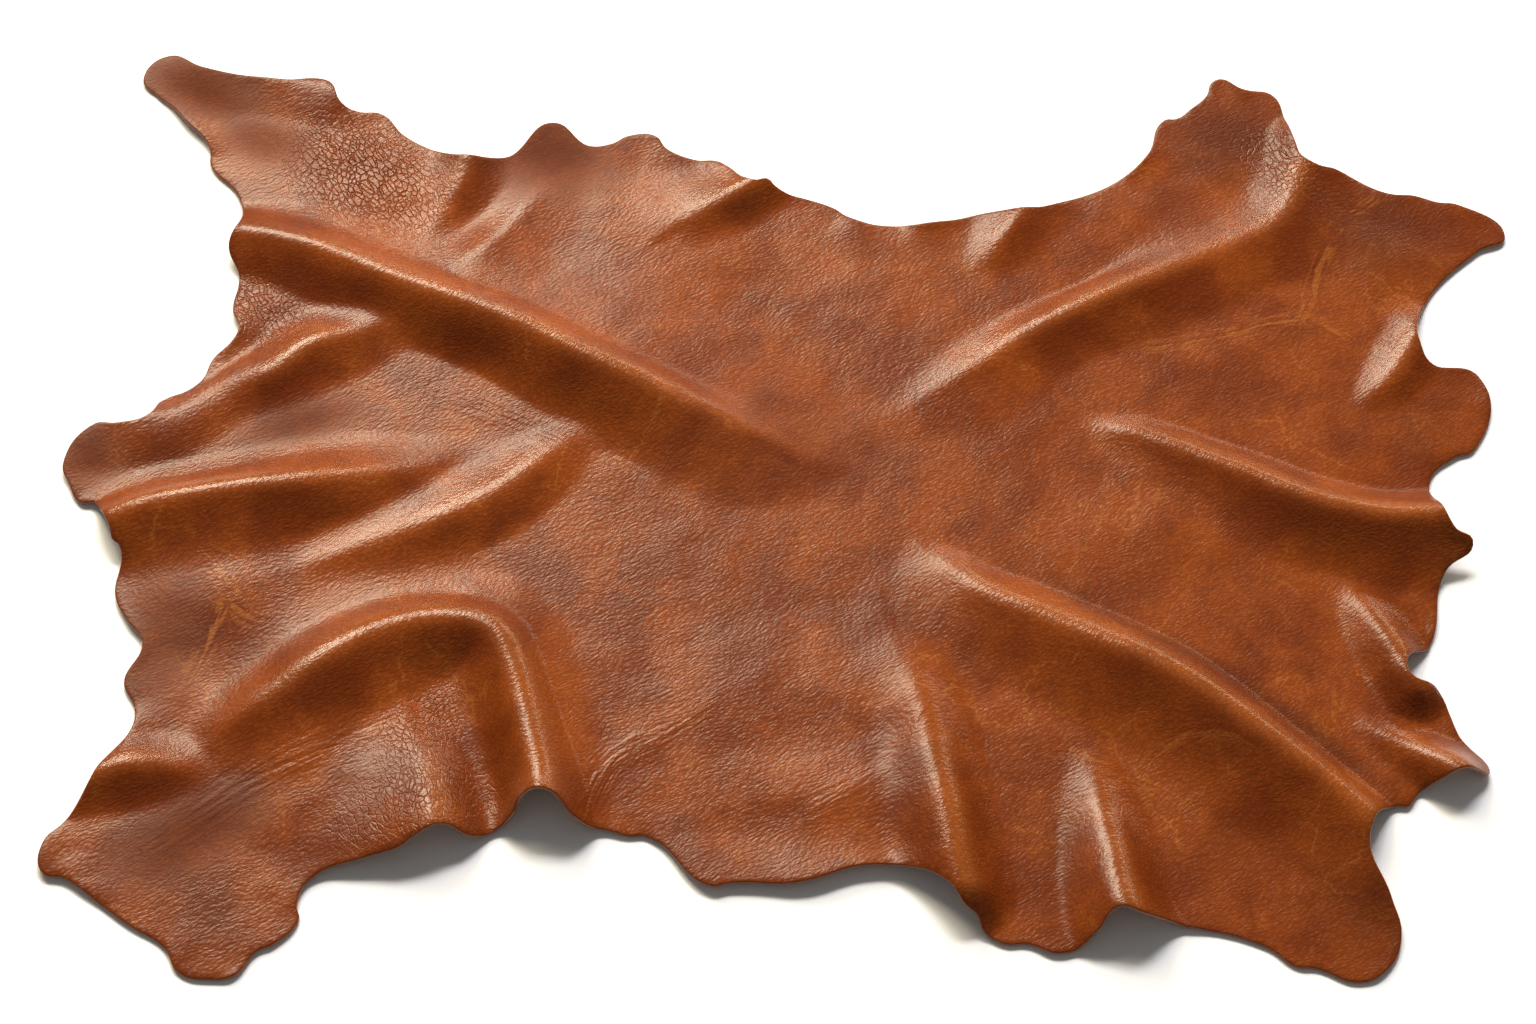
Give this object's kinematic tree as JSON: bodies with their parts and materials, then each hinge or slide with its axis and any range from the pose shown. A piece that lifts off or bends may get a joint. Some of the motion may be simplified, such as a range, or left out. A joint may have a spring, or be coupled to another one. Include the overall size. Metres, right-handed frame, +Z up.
{
  "type": "leather hide",
  "caption": "Whole tanned leather hide with its shanks, lying grain side up in loose folds on a flat surface.",
  "frame": {"origin": "on the surface the hide rests on, under the middle of its bounding box", "axes": "+X along the hide's longest extent, from its left end to its right end; +Y towards its far flank; +Z up, along its shortest extent"},
  "size_m": [1.0396, 0.7531, 0.0322],
  "materials": {
    "hide": "tumbled cognac brown grain with a soft sheen, burnished cut edge"
  },
  "bodies": {
    "root": {"hide": "hide"}
  },
  "joints": []
}
